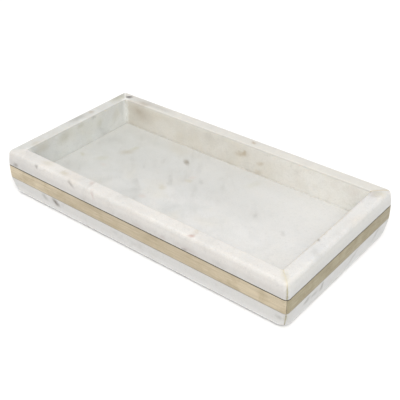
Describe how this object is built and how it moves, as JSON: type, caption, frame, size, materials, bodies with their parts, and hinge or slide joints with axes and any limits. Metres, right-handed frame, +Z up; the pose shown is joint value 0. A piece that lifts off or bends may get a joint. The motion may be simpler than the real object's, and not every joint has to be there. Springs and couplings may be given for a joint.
{
  "type": "vanity tray",
  "caption": "Rectangular stone tray with upright mitred walls, a flat floor, a flush metal band round the outside and low foot pads.",
  "frame": {"origin": "middle of the footprint, on the surface that the foot pads stand on", "axes": "+X along the tray's length, +Y across its width from front to back, +Z up out of the well"},
  "size_m": [0.3, 0.152, 0.043],
  "materials": {
    "marble_walls": "honed white marble, warm, with faint grey and tan veins",
    "marble_floor": "honed white marble, cooler grey, with soft diagonal veins",
    "brass": "fine brushed along the strip, pale champagne brass",
    "adhesive": "dark stone adhesive",
    "resin": "yellowish stone resin, sanded flush",
    "pads": "soft grey elastomer"
  },
  "bodies": {
    "root": {"floor_slab": "marble_floor", "wall_front": "marble_walls", "wall_back": "marble_walls", "wall_left": "marble_walls", "wall_right": "marble_walls", "brass_strip_front": "brass", "brass_strip_back": "brass", "brass_strip_left": "brass", "brass_strip_right": "brass", "strip_adhesive_front": "adhesive", "strip_adhesive_back": "adhesive", "strip_adhesive_left": "adhesive", "strip_adhesive_right": "adhesive", "mitre_resin_front_left": "resin", "mitre_resin_front_right": "resin", "mitre_resin_back_left": "resin", "mitre_resin_back_right": "resin", "floor_joint_resin": "resin", "foot_pad_front_left": "pads", "foot_pad_front_right": "pads", "foot_pad_back_left": "pads", "foot_pad_back_right": "pads"}
  },
  "joints": []
}
